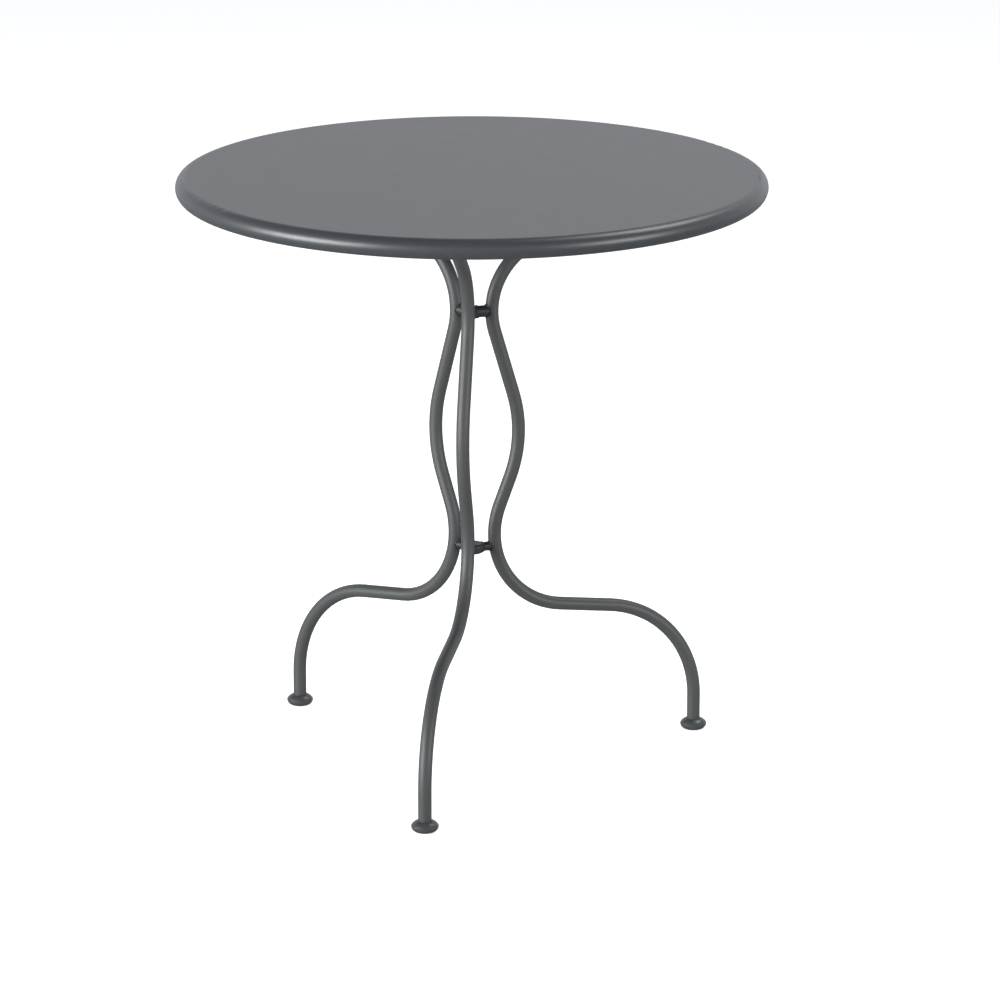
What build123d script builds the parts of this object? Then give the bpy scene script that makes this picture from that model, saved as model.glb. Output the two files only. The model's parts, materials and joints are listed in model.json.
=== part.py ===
from build123d import *
import math
import os

# Round bistro table: a pressed steel top with a rolled edge, carried by three bent
# tube legs that are tied together at two narrow waists.
# Millimetres, +Z up, origin on the floor under the centre of the top.

# ---- driving dimensions -------------------------------------------------------

TABLE_HEIGHT = 720.0
TOP_RADIUS = 350.0

# Top: one sheet whose edge is rolled outwards and under, around a tube hoop
SHEET = 1.2
ROLL_RADIUS = 12.0
CURL_ANGLE = 255.0
HOOP_CLEARANCE = 0.05
HOOP_WALL = 1.5

# Braces: shallow hat-section channels spot-welded under the sheet, one per leg
BRACE_SHEET = 1.5
BRACE_DEPTH = 10.0
BRACE_WEB = 52.0
BRACE_FLANGE = 12.0
BRACE_INNER = 34.0
BRACE_OUTER = 305.0
BRACE_CORNER = 3.0
CENTRE_PLATE_RADIUS = 62.0
CENTRE_PLATE = 2.0
PLATE_ROUND = 0.5

# Legs: round tube, bent in one upright plane each
LEG_AZIMUTHS = {"front": 270.0, "right": 30.0, "left": 150.0}
TUBE_RADIUS = 8.0
TUBE_WALL = 1.5
FOOT_CIRCLE = 288.0
TUBE_BOTTOM = 9.0
TUBE_END = 205.0

# Mounting tabs welded on top of each leg's level end
TAB = 4.0
TAB_INNER = 152.0
TAB_OUTER = 212.0
TAB_WIDTH = 52.0
TAB_CORNER = 6.0

# M6 fixings: two per tab, in line across the tube
SCREW_RADIUS = 3.0
SCREW_OFFSET = 16.0
SCREW_REACH = 182.0
SCREW_HOLE = 3.3
SCREW_HEAD_FLATS = 10.0
SCREW_HEAD = 4.0
HEX_FACE_SHARE = 0.95
HEX_CHAMFER_ANGLE = 30.0
WASHER = 1.6
WASHER_RADIUS = 6.0
NUT_FLATS = 10.0
NUT = 5.0
NUT_CLEARANCE = 0.03

# Waist joints: a turned hub on the axis with a short rod to each leg
UPPER_WAIST = 552.5
LOWER_WAIST = 260.5
UPPER_HUB_RADIUS = 8.5
LOWER_HUB_RADIUS = 14.0
UPPER_HUB_HEIGHT = 15.0
LOWER_HUB_HEIGHT = 11.5
UPPER_HUB_ROUND = 5.0
LOWER_HUB_ROUND = 3.5
HUB_PILOT_RADIUS = 2.5
UPPER_ROD_RADIUS = 7.0
LOWER_ROD_RADIUS = 5.5
ROD_REACH = 28.0

# Glides: moulded feet with a ribbed stem up the tube
GLIDE_RADIUS = 16.2
GLIDE_FACE_RADIUS = 10.0
GLIDE_WIDEST = 7.0
GLIDE_EDGE = 1.0
GLIDE_COLLAR = 13.0
GLIDE_COLLAR_WALL = 1.0
GLIDE_FIT = 0.05
GLIDE_BELLY = 1.6
GLIDE_DOME = 0.9
STEM_TOP = 36.0
STEM_CORE = 5.4
RIB_PITCH = 6.0
RIB_HEIGHT = 2.0
RIB_COUNT = 4

# Plugs that close the level ends of the legs
PLUG_HEAD = 2.0
PLUG_STEM = 12.0
PLUG_ROUND = 0.8

# How far a drill or cutter runs past the face it goes through
OVERRUN = 1.0

# ---- worked-out levels --------------------------------------------------------

SHEET_UNDERSIDE = TABLE_HEIGHT - SHEET
ROLL_CENTRE = TOP_RADIUS - ROLL_RADIUS
ROLL_LEVEL = TABLE_HEIGHT - ROLL_RADIUS
WEB_UNDERSIDE = SHEET_UNDERSIDE - BRACE_DEPTH
TAB_UNDERSIDE = WEB_UNDERSIDE - TAB
TUBE_TOP_RUN = TAB_UNDERSIDE - TUBE_RADIUS
TUBE_BORE = TUBE_RADIUS - TUBE_WALL

# Corners of a leg's centre line, as (distance from the axis, height), foot first:
# foot upright, level run, lower waist, belly, upper waist, level end under the top.
LEG_CORNERS = [
    (FOOT_CIRCLE, TUBE_BOTTOM),
    (FOOT_CIRCLE, 156.0),
    (-10.0, 195.0),
    (67.5, 395.5),
    (11.5, 583.5),
    (156.0, TUBE_TOP_RUN),
    (TUBE_END, TUBE_TOP_RUN),
]
LEG_BENDS = [127.0, 97.0, 160.0, 87.0, 40.0]


# ---- helpers ------------------------------------------------------------------


def turned(azimuth, shape):
    """Turn a shape built along +X to a leg's azimuth."""
    return Rot(0, 0, azimuth) * shape


def upright_cylinder(radius, low, high):
    """Round bar on the Z axis between two heights."""
    return Pos(0, 0, low) * Cylinder(
        radius, high - low, align=(Align.CENTER, Align.CENTER, Align.MIN)
    )


def fixing_places():
    """Axis points of the two fixings of every tab."""
    places = []
    for azimuth in LEG_AZIMUTHS.values():
        for side in (-SCREW_OFFSET, SCREW_OFFSET):
            places.append(Rot(0, 0, azimuth) * Pos(SCREW_REACH, side, 0))
    return places


def at_fixings(shape):
    """One copy of a fixing piece at every tab hole."""
    return Compound([place * shape for place in fixing_places()])


def hexagon(flats, low, high):
    """Hexagonal prism on the Z axis, its corners turned off at the lower end."""
    height = high - low
    outline = RegularPolygon(flats / 2, 6, major_radius=False)
    prism = Pos(0, 0, low) * extrude(outline, height)
    face_radius = HEX_FACE_SHARE * flats / 2
    spread = height / math.tan(math.radians(HEX_CHAMFER_ANGLE))
    turned_corners = Pos(0, 0, low) * Cone(
        face_radius,
        face_radius + spread,
        height,
        align=(Align.CENTER, Align.CENTER, Align.MIN),
    )
    return prism & turned_corners


# ---- top ----------------------------------------------------------------------


def tabletop_sheet():
    """Flat disc whose edge curls over, down and back under itself."""
    last = math.radians(90 - CURL_ANGLE)
    outer_end = (
        ROLL_CENTRE + ROLL_RADIUS * math.cos(last),
        ROLL_LEVEL + ROLL_RADIUS * math.sin(last),
    )
    inner_radius = ROLL_RADIUS - SHEET
    inner_end = (
        ROLL_CENTRE + inner_radius * math.cos(last),
        ROLL_LEVEL + inner_radius * math.sin(last),
    )
    outline = [
        Line((0, TABLE_HEIGHT), (ROLL_CENTRE, TABLE_HEIGHT)),
        CenterArc((ROLL_CENTRE, ROLL_LEVEL), ROLL_RADIUS, 90, -CURL_ANGLE),
        Line(outer_end, inner_end),
        CenterArc((ROLL_CENTRE, ROLL_LEVEL), inner_radius, 90, -CURL_ANGLE),
        Line((ROLL_CENTRE, SHEET_UNDERSIDE), (0, SHEET_UNDERSIDE)),
        Line((0, SHEET_UNDERSIDE), (0, TABLE_HEIGHT)),
    ]
    return revolve(Plane.XZ * make_face(outline), Axis.Z)


def rim_hoop():
    """Tube bent to a full circle, which the sheet's edge is rolled around."""
    radius = ROLL_RADIUS - SHEET - HOOP_CLEARANCE
    place = Pos(0, 0, ROLL_LEVEL)
    return place * (Torus(ROLL_CENTRE, radius) - Torus(ROLL_CENTRE, radius - HOOP_WALL))


def brace():
    """Hat-section channel with square ends: flanges on the sheet, web below."""
    half_web = BRACE_WEB / 2
    half_all = half_web + BRACE_FLANGE
    path = FilletPolyline(
        (-half_all, SHEET_UNDERSIDE - BRACE_SHEET / 2),
        (-half_web + BRACE_SHEET / 2, SHEET_UNDERSIDE - BRACE_SHEET / 2),
        (-half_web + BRACE_SHEET / 2, WEB_UNDERSIDE + BRACE_SHEET / 2),
        (half_web - BRACE_SHEET / 2, WEB_UNDERSIDE + BRACE_SHEET / 2),
        (half_web - BRACE_SHEET / 2, SHEET_UNDERSIDE - BRACE_SHEET / 2),
        (half_all, SHEET_UNDERSIDE - BRACE_SHEET / 2),
        radius=BRACE_CORNER,
    )
    section = trace(path, BRACE_SHEET)
    channel = extrude(Plane.YZ * section, BRACE_OUTER - BRACE_INNER)
    channel = Pos(BRACE_INNER, 0, 0) * channel
    for side in (-SCREW_OFFSET, SCREW_OFFSET):
        hole = upright_cylinder(SCREW_HOLE, WEB_UNDERSIDE - OVERRUN, WEB_UNDERSIDE + BRACE_SHEET + OVERRUN)
        channel -= Pos(SCREW_REACH, side, 0) * hole
    return channel


def centre_plate():
    """Round plate that ties the inner ends of the three braces."""
    plate = upright_cylinder(
        CENTRE_PLATE_RADIUS, WEB_UNDERSIDE - CENTRE_PLATE, WEB_UNDERSIDE
    )
    return fillet(plate.edges(), PLATE_ROUND)


# ---- legs ---------------------------------------------------------------------


def leg_path():
    """Centre line of a leg in the XZ plane."""
    return Plane.XZ * FilletPolyline(*LEG_CORNERS, radius=LEG_BENDS)


def leg_solid(radius):
    """Round bar of the given radius along a leg's centre line."""
    path = leg_path()
    section = Plane(origin=path @ 0, z_dir=path % 0) * Circle(radius)
    return sweep(section, path=path)


def mount_tab():
    """Flat plate with rounded corners and two fixing holes."""
    length = TAB_OUTER - TAB_INNER
    outline = RectangleRounded(length, TAB_WIDTH, TAB_CORNER)
    middle = (TAB_INNER + TAB_OUTER) / 2
    tab = Pos(middle, 0, TAB_UNDERSIDE) * extrude(outline, TAB)
    tab = fillet(tab.edges().group_by(Axis.Z)[0], PLATE_ROUND)
    for side in (-SCREW_OFFSET, SCREW_OFFSET):
        hole = upright_cylinder(SCREW_HOLE, TAB_UNDERSIDE - OVERRUN, WEB_UNDERSIDE + OVERRUN)
        tab -= Pos(SCREW_REACH, side, 0) * hole
    return tab


def end_plug():
    """Moulded cap pushed into the level end of a leg."""
    head = Cylinder(TUBE_RADIUS, PLUG_HEAD, align=(Align.CENTER, Align.CENTER, Align.MIN))
    head = fillet(head.edges().group_by(Axis.Z)[-1], PLUG_ROUND)
    stem = Cylinder(
        TUBE_BORE - GLIDE_FIT, PLUG_STEM, align=(Align.CENTER, Align.CENTER, Align.MAX)
    )
    place = Plane(origin=(TUBE_END, 0, TUBE_TOP_RUN), z_dir=(1, 0, 0))
    return place * (head + stem)


def glide():
    """Domed foot: small flat face on the floor, widest just above it, collar round the tube."""
    collar = TUBE_RADIUS + GLIDE_FIT
    collar_outside = collar + GLIDE_COLLAR_WALL
    widest_low = (GLIDE_RADIUS, GLIDE_WIDEST - GLIDE_EDGE / 2)
    widest_high = (GLIDE_RADIUS, GLIDE_WIDEST + GLIDE_EDGE / 2)
    collar_top = (collar_outside, GLIDE_COLLAR)
    outline = [
        Line((0, 0), (GLIDE_FACE_RADIUS, 0)),
        SagittaArc((GLIDE_FACE_RADIUS, 0), widest_low, -GLIDE_BELLY),
        Line(widest_low, widest_high),
        SagittaArc(widest_high, collar_top, -GLIDE_DOME),
        Line(collar_top, (collar, GLIDE_COLLAR)),
        Line((collar, GLIDE_COLLAR), (collar, TUBE_BOTTOM)),
        Line((collar, TUBE_BOTTOM), (STEM_CORE, TUBE_BOTTOM)),
        Line((STEM_CORE, TUBE_BOTTOM), (STEM_CORE, STEM_TOP)),
        Line((STEM_CORE, STEM_TOP), (0, STEM_TOP)),
        Line((0, STEM_TOP), (0, 0)),
    ]
    foot = revolve(Plane.XZ * make_face(outline), Axis.Z)
    for index in range(RIB_COUNT):
        low = STEM_TOP - RIB_HEIGHT - index * RIB_PITCH
        foot += upright_cylinder(TUBE_BORE - GLIDE_FIT, low, low + RIB_HEIGHT)
    return Pos(FOOT_CIRCLE, 0, 0) * foot


# ---- waist joints -------------------------------------------------------------


def hub(level, radius, height, rounding):
    """Turned puck on the axis, its edges rounded over, drilled from end to end."""
    puck = upright_cylinder(radius, level - height / 2, level + height / 2)
    puck = fillet(puck.edges(), rounding)
    return puck - upright_cylinder(HUB_PILOT_RADIUS, level - height, level + height)


def hub_rod(level, radius, puck):
    """Short rod from the hub to the leg, coped at both ends."""
    rod = Plane(origin=(0, 0, level), z_dir=(1, 0, 0)) * Cylinder(
        radius, ROD_REACH, align=(Align.CENTER, Align.CENTER, Align.MIN)
    )
    rod = rod - puck - leg_solid(TUBE_RADIUS)
    return rod.solids().filter_by_position(Axis.X, UPPER_HUB_RADIUS, ROD_REACH)[0]


# ---- fixings ------------------------------------------------------------------


def weld_nuts():
    """Hexagon nuts welded on the upper side of the brace webs."""
    low = WEB_UNDERSIDE + BRACE_SHEET
    nut = hexagon(NUT_FLATS, low, low + NUT)
    bore = upright_cylinder(SCREW_RADIUS + NUT_CLEARANCE, low - OVERRUN, low + NUT + OVERRUN)
    return at_fixings(nut - bore)


def tab_washers():
    """Plain washers between the screw heads and the tabs."""
    low = TAB_UNDERSIDE - WASHER
    washer = upright_cylinder(WASHER_RADIUS, low, TAB_UNDERSIDE)
    return at_fixings(washer - upright_cylinder(SCREW_HOLE, low - OVERRUN, TAB_UNDERSIDE + OVERRUN))


def tab_screws():
    """Hexagon-head screws, up through washer, tab and web into the nuts."""
    seat = TAB_UNDERSIDE - WASHER
    head = hexagon(SCREW_HEAD_FLATS, seat - SCREW_HEAD, seat)
    shank = upright_cylinder(SCREW_RADIUS, seat, WEB_UNDERSIDE + BRACE_SHEET + NUT)
    return at_fixings(head + shank)


# ---- assembly -----------------------------------------------------------------


def build():
    """Every piece of the table by name."""
    upper_hub = hub(UPPER_WAIST, UPPER_HUB_RADIUS, UPPER_HUB_HEIGHT, UPPER_HUB_ROUND)
    lower_hub = hub(LOWER_WAIST, LOWER_HUB_RADIUS, LOWER_HUB_HEIGHT, LOWER_HUB_ROUND)
    nodes = {
        "tabletop_sheet": tabletop_sheet(),
        "rim_hoop": rim_hoop(),
        "centre_plate": centre_plate(),
        "weld_nuts": weld_nuts(),
        "tab_screws": tab_screws(),
        "tab_washers": tab_washers(),
        "upper_hub": upper_hub,
        "lower_hub": lower_hub,
    }
    leg_pieces = {
        "leg": leg_solid(TUBE_RADIUS) - leg_solid(TUBE_BORE),
        "brace": brace(),
        "mount_tab": mount_tab(),
        "glide": glide(),
        "end_plug": end_plug(),
        "upper_rod": hub_rod(UPPER_WAIST, UPPER_ROD_RADIUS, upper_hub),
        "lower_rod": hub_rod(LOWER_WAIST, LOWER_ROD_RADIUS, lower_hub),
    }
    for side, azimuth in LEG_AZIMUTHS.items():
        for name, piece in leg_pieces.items():
            nodes[f"{side}_{name}"] = turned(azimuth, piece)
    return nodes


os.makedirs("parts", exist_ok=True)
for node, shape in build().items():
    export_step(shape, f"parts/{node}.step")
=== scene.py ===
import json
import math
import random

import bmesh
import bpy
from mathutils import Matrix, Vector


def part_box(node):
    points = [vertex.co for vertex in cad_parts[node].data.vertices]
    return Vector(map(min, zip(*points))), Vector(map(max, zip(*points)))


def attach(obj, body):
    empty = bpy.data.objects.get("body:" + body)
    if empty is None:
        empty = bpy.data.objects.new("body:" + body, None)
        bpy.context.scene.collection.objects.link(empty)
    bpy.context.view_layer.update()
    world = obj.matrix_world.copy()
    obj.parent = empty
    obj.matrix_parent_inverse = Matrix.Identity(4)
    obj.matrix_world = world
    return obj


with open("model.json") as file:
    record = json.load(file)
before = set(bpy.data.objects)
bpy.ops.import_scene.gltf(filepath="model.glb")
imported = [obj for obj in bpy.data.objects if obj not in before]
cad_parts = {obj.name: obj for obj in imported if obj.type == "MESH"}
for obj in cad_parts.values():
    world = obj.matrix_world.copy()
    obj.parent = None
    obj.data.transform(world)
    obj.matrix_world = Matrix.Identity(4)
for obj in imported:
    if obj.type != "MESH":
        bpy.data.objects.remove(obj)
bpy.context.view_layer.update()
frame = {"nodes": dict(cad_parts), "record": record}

# Round steel bistro table on three bent tube legs, powder coated dark grey.
# Metres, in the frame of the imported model: +Z up, floor at 0, front leg towards -Y.

# ---- camera -------------------------------------------------------------------

CAMERA_AZIMUTH = 10.87
CAMERA_ELEVATION = 15.99
CAMERA_DISTANCE = 6.009
CAMERA_LENS = 180.0
CAMERA_SENSOR = 36.0
AIM_HEIGHT = 0.3200
AIM_RIGHT = 0.0331

# ---- light --------------------------------------------------------------------

# Softboxes: azimuth and elevation seen from the table (0 is the front leg's side,
# positive to the right), distance, width, height and radiance.
SOFTBOXES = {
    "left_wide": (-50.0, 7.0, 4.0, 2.9, 2.0, 13.0),
    "right_wide": (68.0, 9.0, 4.0, 2.2, 1.5, 7.0),
    "overhead": (128.0, 56.0, 3.6, 1.6, 1.6, 6.5),
}
SOFTBOX_COLOUR = (0.97, 0.99, 1.0)
AIM_OF_LIGHTS = (0.0, 0.0, 0.45)

# Lamp power for each square metre of softbox and unit of radiance
WATTS_PER_RADIANCE = 4.0

# World radiance by elevation, straight behind the table, as (sine of the elevation,
# grey)
WORLD_STEPS = [
    (-1.0, 0.16),
    (-0.45, 0.32),
    (-0.12, 0.80),
    (0.05, 1.05),
    (0.40, 1.02),
    (0.62, 0.38),
    (1.0, 0.20),
]
WORLD_TINT = (0.965, 0.985, 1.045)
WORLD_STRENGTH = 1.0

# Share of that radiance at the front and sides. It rises to all of it between these
# two values of the direction's Y, which is 1 straight behind the table.
FRONT_SHARE = 0.60
BACK_STARTS = 0.50
BACK_FULL = 0.95

FLOOR_RADIUS = 40.0
FLOOR_SEGMENTS = 128
FLOOR_ALBEDO = 0.80
FLOOR_GLOW = 0.63
FLOOR_DRIFT_SIZE = 0.9
FLOOR_DRIFT = 0.005

# ---- finishes -----------------------------------------------------------------

# Powder coats and plastic: colour, roughness, index of refraction, size and height
# of the orange peel
COATINGS = {
    "coated_top": ((0.031, 0.034, 0.037), 0.37, 1.50, 0.0012, 0.000008),
    "coated_tube": ((0.042, 0.044, 0.0435), 0.48, 1.42, 0.0011, 0.000010),
    # The joint coat is the tubes' powder coat made much darker, as painted shade on the
    # waist hubs and rods between the legs.
    "coated_joint": ((0.018, 0.019, 0.020), 0.46, 1.38, 0.0009, 0.000016),
    "moulded_plastic": ((0.036, 0.039, 0.040), 0.36, 1.50, 0.0005, 0.000020),
}

# Bare metals: colour, roughness, size and height of the tool marks
METALS = {
    "zinc_steel": ((0.56, 0.57, 0.57), 0.34, 0.0006, 0.000010),
    "bare_hoop": ((0.40, 0.39, 0.38), 0.48, 0.0010, 0.000020),
}

# The part of a noise's range that is stretched over a finish's variation, and how
# many octaves a noise has
NOISE_LOW = 0.3
NOISE_HIGH = 0.7
FEW_OCTAVES = 2.0
SOME_OCTAVES = 3.0
MANY_OCTAVES = 4.0

# Variation of a coat: slow drift of tone, pigment grain and drift of gloss
DRIFT_SIZE = 0.11
DRIFT = 0.015
COAT_GRAIN_SIZE = 0.0007
GRAIN = 0.06
GLOSS_SIZE = 0.03
GLOSS_DRIFT = 0.006

# Variation of a metal: cloudy plating, grain, and roughness where it is dull or bright
CLOUD_SIZE = 0.004
CLOUD_DARK = 0.86
CLOUD_LIGHT = 1.08
METAL_GRAIN_SIZE = 0.0004
CLOUD_DULLER = 0.08
CLOUD_GLOSSIER = 0.06

# ---- legs and welds -----------------------------------------------------------

LEG_AZIMUTHS = {"front": 270.0, "right": 30.0, "left": 150.0}
BEAD_SIDES = 12
RIPPLE = 0.16
RIPPLE_PITCH = 0.0023
BEAD_JITTER = 0.05
BEAD_STEP = 0.0006
END_TAPER = 0.45

TAB_BEAD_RADIUS = 0.0022
TAB_BEAD_OFFSET = 0.0054
TAB_BEAD_START = 0.006
TAB_BEAD_END = 0.010
RING_POINTS = 96
RING_BEAD_RADIUS = 0.0011
RING_SIDE_SHARE = 0.97

SPOT_RADIUS = 0.0034
SPOT_SINK = 0.0002
SPOT_RISE = 0.00035
SPOT_DIP = 0.0003
SPOT_SEGMENTS = 28
SPOT_PITCH = 0.045
SPOT_MARGIN = 0.02

# Section of a mark from its rim inwards, as (share of the radius, share of the rise)
SPOT_SECTION = [(0.94, 0.7), (0.80, 1.0), (0.62, 0.7)]
SPOT_FLOOR_SHARE = 0.45
FLANGE_WIDTH = 0.012
FLANGE_SHEET = 0.0015


# ---- node helpers -------------------------------------------------------------


def add_node(tree, kind, **inputs):
    """A shader node with some of its inputs set."""
    made = tree.nodes.new(kind)
    for name, value in inputs.items():
        made.inputs[name].default_value = value
    return made


def surface_noise(tree, size, detail):
    """Noise whose features are about `size` metres across, fixed to the object."""
    coordinates = tree.nodes.new("ShaderNodeTexCoord")
    noise = add_node(tree, "ShaderNodeTexNoise", Scale=1.0 / size, Detail=detail)
    tree.links.new(coordinates.outputs["Object"], noise.inputs["Vector"])
    return noise.outputs["Fac"]


def mapped(tree, source, low, high):
    """The middle of a noise's range stretched to run from low to high."""
    ramp = tree.nodes.new("ShaderNodeMapRange")
    ramp.inputs["From Min"].default_value = NOISE_LOW
    ramp.inputs["From Max"].default_value = NOISE_HIGH
    ramp.inputs["To Min"].default_value = low
    ramp.inputs["To Max"].default_value = high
    tree.links.new(source, ramp.inputs["Value"])
    return ramp.outputs["Result"]


def scaled_colour(tree, colour, factors):
    """The base colour multiplied by every factor in turn."""
    current = None
    for factor in factors:
        scale = tree.nodes.new("ShaderNodeVectorMath")
        scale.operation = "SCALE"
        if current is None:
            scale.inputs[0].default_value = colour
        else:
            tree.links.new(current, scale.inputs[0])
        tree.links.new(factor, scale.inputs["Scale"])
        current = scale.outputs["Vector"]
    return current


def bumped(tree, source, height):
    """Relief of a noise, `height` metres deep."""
    bump = add_node(tree, "ShaderNodeBump", Strength=1.0, Distance=height)
    tree.links.new(source, bump.inputs["Height"])
    return bump.outputs["Normal"]


# ---- materials ----------------------------------------------------------------


def coating(name, colour, roughness, ior, peel, peel_height):
    """Powder coat: orange peel, fine pigment grain and slow drifts of tone and gloss."""
    material = bpy.data.materials.new(name)
    material.use_nodes = True
    tree = material.node_tree
    shader = tree.nodes["Principled BSDF"]
    shader.inputs["IOR"].default_value = ior
    drift = surface_noise(tree, DRIFT_SIZE, SOME_OCTAVES)
    grain = surface_noise(tree, COAT_GRAIN_SIZE, FEW_OCTAVES)
    tone = [
        mapped(tree, drift, 1.0 - DRIFT, 1.0 + DRIFT),
        mapped(tree, grain, 1.0 - GRAIN, 1.0 + GRAIN),
    ]
    tree.links.new(scaled_colour(tree, colour, tone), shader.inputs["Base Color"])
    gloss = surface_noise(tree, GLOSS_SIZE, MANY_OCTAVES)
    tree.links.new(
        mapped(tree, gloss, roughness - GLOSS_DRIFT, roughness + GLOSS_DRIFT),
        shader.inputs["Roughness"],
    )
    skin = surface_noise(tree, peel, FEW_OCTAVES)
    relief = bumped(tree, skin, peel_height)
    tree.links.new(relief, shader.inputs["Normal"])
    return material


def metal(name, colour, roughness, mark, mark_height):
    """Plated or bare steel with fine tool marks and cloudy plating."""
    material = bpy.data.materials.new(name)
    material.use_nodes = True
    tree = material.node_tree
    shader = tree.nodes["Principled BSDF"]
    shader.inputs["Metallic"].default_value = 1.0
    cloud = surface_noise(tree, CLOUD_SIZE, MANY_OCTAVES)
    grain = surface_noise(tree, METAL_GRAIN_SIZE, FEW_OCTAVES)
    tone = [
        mapped(tree, cloud, CLOUD_DARK, CLOUD_LIGHT),
        mapped(tree, grain, 1.0 - GRAIN, 1.0 + GRAIN),
    ]
    tree.links.new(scaled_colour(tree, colour, tone), shader.inputs["Base Color"])
    tree.links.new(
        mapped(tree, cloud, roughness + CLOUD_DULLER, roughness - CLOUD_GLOSSIER),
        shader.inputs["Roughness"],
    )
    marks = surface_noise(tree, mark, SOME_OCTAVES)
    relief = bumped(tree, marks, mark_height)
    tree.links.new(relief, shader.inputs["Normal"])
    return material


def finishes():
    """One material for each of the record's slots."""
    made = {name: coating(name, *row) for name, row in COATINGS.items()}
    made.update({name: metal(name, *row) for name, row in METALS.items()})
    return made


def paint_nodes(materials):
    """Give every CAD node the finish that the record names for it."""
    for row in frame["record"]["subparts"]:
        mesh = frame["nodes"][row["node"]].data
        mesh.materials.clear()
        mesh.materials.append(materials[row["material_slot"]])


# ---- mesh helpers -------------------------------------------------------------


def beside_leg(azimuth, reach, side, height):
    """A point given by its reach along a leg's azimuth and its offset to the side."""
    angle = math.radians(azimuth)
    along = Vector((math.cos(angle), math.sin(angle), 0.0))
    across = Vector((-math.sin(angle), math.cos(angle), 0.0))
    return along * reach + across * side + Vector((0.0, 0.0, height))


def finish_piece(mesh, name, slot, materials):
    """Turn a bmesh into a smooth, painted piece that rides on the table."""
    bmesh.ops.recalc_face_normals(mesh, faces=mesh.faces)
    data = bpy.data.meshes.new(name)
    mesh.to_mesh(data)
    mesh.free()
    for face in data.polygons:
        face.use_smooth = True
    data.materials.append(materials[slot])
    piece = bpy.data.objects.new(name, data)
    bpy.context.scene.collection.objects.link(piece)
    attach(piece, "root")
    return piece


def add_bead(mesh, path, radius, closed, dice):
    """Add a rippled weld bead along a path, tapered where the path is open."""
    count = len(path)
    rings = []
    normal = None
    run = 0.0
    for index, point in enumerate(path):
        after = path[(index + 1) % count] if closed or index < count - 1 else point
        before = path[index - 1] if closed or index > 0 else point
        tangent = (after - before).normalized()
        if normal is None:
            normal = tangent.orthogonal()
        normal = (normal - tangent * normal.dot(tangent)).normalized()
        across = tangent.cross(normal)
        wave = abs(math.sin(math.pi * run / RIPPLE_PITCH))
        swell = 1.0 + RIPPLE * (wave - 0.5) + dice.uniform(-BEAD_JITTER, BEAD_JITTER)
        if not closed:
            to_end = min(index, count - 1 - index) * BEAD_STEP / radius
            swell *= END_TAPER + (1.0 - END_TAPER) * min(1.0, to_end)
        ring = []
        for side in range(BEAD_SIDES):
            turn = 2.0 * math.pi * side / BEAD_SIDES
            offset = normal * math.cos(turn) + across * math.sin(turn)
            ring.append(mesh.verts.new(point + offset * radius * swell))
        rings.append(ring)
        run += (after - point).length
    last = count if closed else count - 1
    for index in range(last):
        here, there = rings[index], rings[(index + 1) % count]
        for side in range(BEAD_SIDES):
            other = (side + 1) % BEAD_SIDES
            mesh.faces.new((here[side], here[other], there[other], there[side]))
    if not closed:
        mesh.faces.new(rings[0])
        mesh.faces.new(rings[-1])


# ---- welds --------------------------------------------------------------------


def tab_welds(materials):
    """Two beads under each tab, one along either side of the leg's level end."""
    low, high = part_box("front_mount_tab")
    tube_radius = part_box("front_leg")[1].x
    inner = -high.y + TAB_BEAD_START
    outer = -low.y - TAB_BEAD_END
    drop = tube_radius - math.sqrt(tube_radius**2 - TAB_BEAD_OFFSET**2)
    steps = int((outer - inner) / BEAD_STEP)
    for seed, (leg, azimuth) in enumerate(LEG_AZIMUTHS.items()):
        dice = random.Random(seed)
        mesh = bmesh.new()
        for side in (-TAB_BEAD_OFFSET, TAB_BEAD_OFFSET):
            path = [
                beside_leg(azimuth, inner + step * BEAD_STEP, side, low.z - drop / 2)
                for step in range(steps + 1)
            ]
            add_bead(mesh, path, TAB_BEAD_RADIUS, False, dice)
        finish_piece(mesh, f"{leg}_tab_welds", "coated_tube", materials)


def rod_rings(node, azimuth):
    """The closed lines where a rod's round side meets the hub and the leg."""
    low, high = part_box(node)
    level = (low.z + high.z) / 2
    rod_radius = (high.z - low.z) / 2
    angle = math.radians(azimuth)
    found = []
    for vertex in frame["nodes"][node].data.vertices:
        reach = vertex.co.x * math.cos(angle) + vertex.co.y * math.sin(angle)
        side = -vertex.co.x * math.sin(angle) + vertex.co.y * math.cos(angle)
        rise = vertex.co.z - level
        if math.hypot(side, rise) >= RING_SIDE_SHARE * rod_radius:
            found.append((math.atan2(rise, side) % (2 * math.pi), reach))
    middle = (min(reach for _, reach in found) + max(reach for _, reach in found)) / 2
    ends = ([f for f in found if f[1] < middle], [f for f in found if f[1] >= middle])
    return [ring_path(sorted(end), rod_radius, level, azimuth) for end in ends]


def ring_path(points, rod_radius, level, azimuth):
    """Even points round a rod, their reach read between the mesh's own points."""
    first, last = points[0], points[-1]
    full = 2 * math.pi
    points = [(last[0] - full, last[1])] + points + [(first[0] + full, first[1])]
    path = []
    for step in range(RING_POINTS):
        turn = full * step / RING_POINTS
        after = next(i for i, point in enumerate(points) if point[0] > turn)
        (turn_a, reach_a), (turn_b, reach_b) = points[after - 1], points[after]
        share = (turn - turn_a) / max(turn_b - turn_a, 1e-9)
        reach = reach_a + (reach_b - reach_a) * share
        side = rod_radius * math.cos(turn)
        path.append(beside_leg(azimuth, reach, side, level + rod_radius * math.sin(turn)))
    return path


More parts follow.
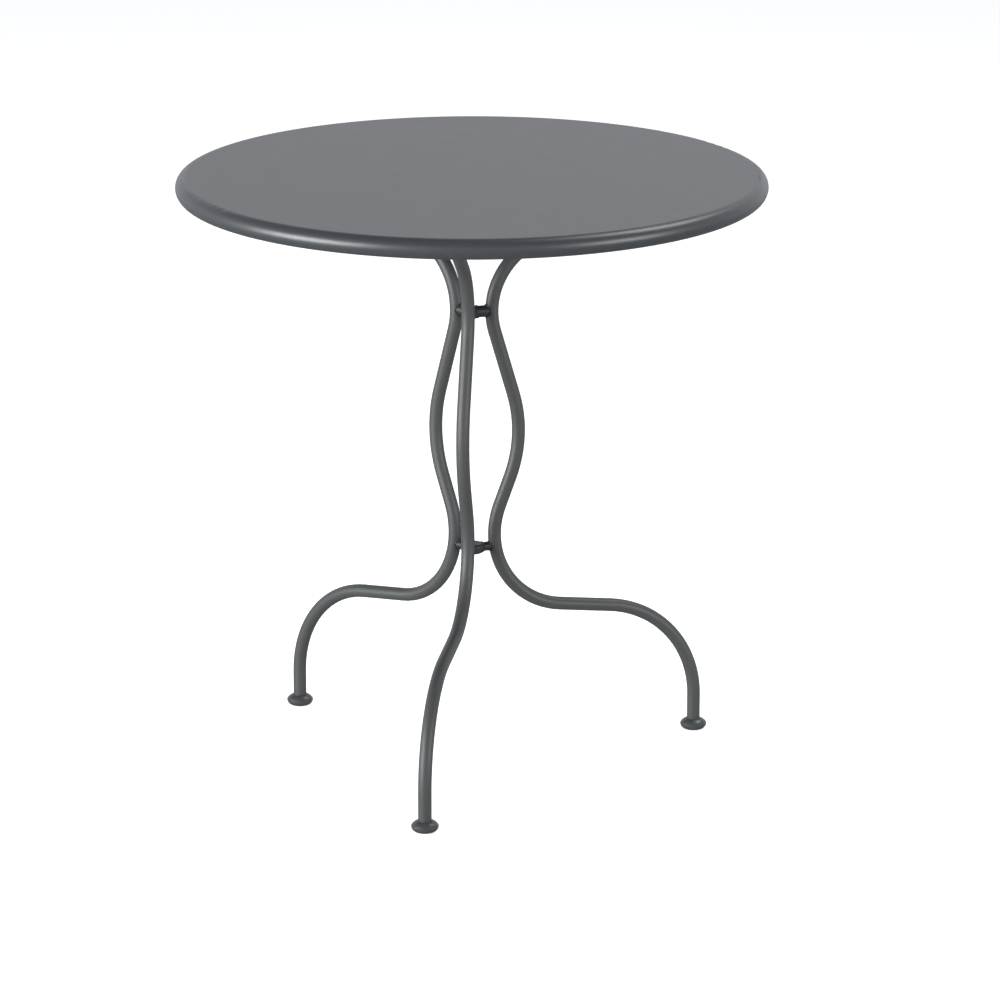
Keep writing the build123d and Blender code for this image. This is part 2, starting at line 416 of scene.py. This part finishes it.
def waist_welds(materials):
    """Ring beads where each short rod meets its hub and its leg."""
    seed = len(LEG_AZIMUTHS)
    for waist in ("upper", "lower"):
        dice = random.Random(seed)
        seed += 1
        mesh = bmesh.new()
        for leg, azimuth in LEG_AZIMUTHS.items():
            for path in rod_rings(f"{leg}_{waist}_rod", azimuth):
                add_bead(mesh, path, RING_BEAD_RADIUS, True, dice)
        # The beads take the joint coat, whose darker colour is painted shade between the
        # legs.
        finish_piece(mesh, f"{waist}_waist_welds", "coated_joint", materials)


def add_spot(mesh, centre):
    """Add one shallow dished mark, standing a little below a flange."""
    profile = [(SPOT_RADIUS, SPOT_SINK)]
    for radius_share, rise_share in SPOT_SECTION:
        profile.append((SPOT_RADIUS * radius_share, -SPOT_RISE * rise_share))
    profile.append((SPOT_RADIUS * SPOT_FLOOR_SHARE, -SPOT_RISE + SPOT_DIP))
    rings = []
    for radius, height in profile:
        ring = []
        for step in range(SPOT_SEGMENTS):
            turn = 2 * math.pi * step / SPOT_SEGMENTS
            offset = Vector((radius * math.cos(turn), radius * math.sin(turn), height))
            ring.append(mesh.verts.new(centre + offset))
        rings.append(ring)
    for here, there in zip(rings, rings[1:]):
        for step in range(SPOT_SEGMENTS):
            other = (step + 1) % SPOT_SEGMENTS
            mesh.faces.new((here[step], here[other], there[other], there[step]))
    mesh.faces.new(rings[0])
    mesh.faces.new(rings[-1])


def spot_welds(materials):
    """Rows of spot welds along both flanges of every brace."""
    low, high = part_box("front_brace")
    inner = -high.y + SPOT_MARGIN
    outer = -low.y - SPOT_MARGIN
    count = int((outer - inner) / SPOT_PITCH) + 1
    pitch = (outer - inner) / (count - 1)
    row = high.x - FLANGE_WIDTH / 2
    underside = high.z - FLANGE_SHEET
    for leg, azimuth in LEG_AZIMUTHS.items():
        mesh = bmesh.new()
        for side in (-row, row):
            for step in range(count):
                add_spot(mesh, beside_leg(azimuth, inner + step * pitch, side, underside))
        finish_piece(mesh, f"{leg}_brace_spot_welds", "coated_top", materials)


# ---- studio -------------------------------------------------------------------


def from_table(azimuth, elevation):
    """Unit vector towards something seen from the table in that direction."""
    turn, rise = math.radians(azimuth), math.radians(elevation)
    level = math.cos(rise)
    return Vector((math.sin(turn) * level, -math.cos(turn) * level, math.sin(rise)))


def look_at(thing, target):
    """Turn a lamp or camera so that its -Z axis points at the target."""
    direction = Vector(target) - thing.location
    thing.rotation_euler = direction.to_track_quat("-Z", "Y").to_euler()


def softboxes():
    """Rectangular lamps around the table, unseen by the camera."""
    for name, row in SOFTBOXES.items():
        azimuth, elevation, distance, width, height, radiance = row
        lamp = bpy.data.lights.new(name, "AREA")
        lamp.shape = "RECTANGLE"
        lamp.size = width
        lamp.size_y = height
        lamp.energy = WATTS_PER_RADIANCE * width * height * radiance
        lamp.color = SOFTBOX_COLOUR
        holder = bpy.data.objects.new(name, lamp)
        holder.location = Vector(AIM_OF_LIGHTS) + from_table(azimuth, elevation) * distance
        look_at(holder, AIM_OF_LIGHTS)
        holder.visible_camera = False
        bpy.context.scene.collection.objects.link(holder)


def surroundings():
    """Surroundings that are palest low down at the back, where the top mirrors them."""
    world = bpy.data.worlds.new("studio")
    bpy.context.scene.world = world
    world.use_nodes = True
    tree = world.node_tree
    background = tree.nodes["Background"]
    background.inputs["Strength"].default_value = WORLD_STRENGTH
    coordinates = tree.nodes.new("ShaderNodeTexCoord")
    split = tree.nodes.new("ShaderNodeSeparateXYZ")
    tree.links.new(coordinates.outputs["Generated"], split.inputs["Vector"])
    height = tree.nodes.new("ShaderNodeMapRange")
    height.inputs["From Min"].default_value = -1.0
    height.inputs["From Max"].default_value = 1.0
    tree.links.new(split.outputs["Z"], height.inputs["Value"])
    ramp = tree.nodes.new("ShaderNodeValToRGB")
    while len(ramp.color_ramp.elements) < len(WORLD_STEPS):
        ramp.color_ramp.elements.new(0.5)
    for element, (sine, grey) in zip(ramp.color_ramp.elements, WORLD_STEPS):
        element.position = (sine + 1.0) / 2.0
        element.color = (*(grey * share for share in WORLD_TINT), 1.0)
    tree.links.new(height.outputs["Result"], ramp.inputs["Fac"])
    share = tree.nodes.new("ShaderNodeMapRange")
    share.inputs["From Min"].default_value = BACK_STARTS
    share.inputs["From Max"].default_value = BACK_FULL
    share.inputs["To Min"].default_value = FRONT_SHARE
    share.inputs["To Max"].default_value = 1.0
    tree.links.new(split.outputs["Y"], share.inputs["Value"])
    shaded = tree.nodes.new("ShaderNodeVectorMath")
    shaded.operation = "SCALE"
    tree.links.new(ramp.outputs["Color"], shaded.inputs[0])
    tree.links.new(share.outputs["Result"], shaded.inputs["Scale"])
    tree.links.new(shaded.outputs["Vector"], background.inputs["Color"])


def floor():
    """Large pale floor that glows, so that it renders white and shadows stay light.

    It is kept out of reflections, where the surroundings stand in for it.
    """
    material = bpy.data.materials.new("pale_floor")
    material.use_nodes = True
    tree = material.node_tree
    shader = tree.nodes["Principled BSDF"]
    shader.inputs["Roughness"].default_value = 1.0
    shader.inputs["Specular IOR Level"].default_value = 0.0
    shader.inputs["Emission Color"].default_value = (1.0, 1.0, 1.0, 1.0)
    shader.inputs["Emission Strength"].default_value = FLOOR_GLOW
    albedo = (FLOOR_ALBEDO, FLOOR_ALBEDO, FLOOR_ALBEDO)
    noise = surface_noise(tree, FLOOR_DRIFT_SIZE, FEW_OCTAVES)
    drift = mapped(tree, noise, 1.0 - FLOOR_DRIFT, 1.0 + FLOOR_DRIFT)
    tree.links.new(scaled_colour(tree, albedo, [drift]), shader.inputs["Base Color"])
    mesh = bmesh.new()
    bmesh.ops.create_circle(
        mesh, cap_ends=True, segments=FLOOR_SEGMENTS, radius=FLOOR_RADIUS
    )
    data = bpy.data.meshes.new("floor")
    mesh.to_mesh(data)
    mesh.free()
    data.materials.append(material)
    ground = bpy.data.objects.new("floor", data)
    bpy.context.scene.collection.objects.link(ground)
    ground.visible_glossy = False


def camera():
    """Camera at the photographed viewing angle, centred lens, no depth of field."""
    lens = bpy.data.cameras.new("camera")
    lens.lens = CAMERA_LENS
    lens.sensor_width = CAMERA_SENSOR
    holder = bpy.data.objects.new("camera", lens)
    turn = math.radians(CAMERA_AZIMUTH)
    right = Vector((math.cos(turn), math.sin(turn), 0.0))
    target = Vector((0.0, 0.0, AIM_HEIGHT)) + right * AIM_RIGHT
    back = from_table(CAMERA_AZIMUTH, CAMERA_ELEVATION)
    holder.location = target + back * CAMERA_DISTANCE
    look_at(holder, target)
    bpy.context.scene.collection.objects.link(holder)
    bpy.context.scene.camera = holder


bpy.context.scene.view_settings.view_transform = "Standard"
materials = finishes()
paint_nodes(materials)
tab_welds(materials)
waist_welds(materials)
spot_welds(materials)
surroundings()
softboxes()
floor()
camera()
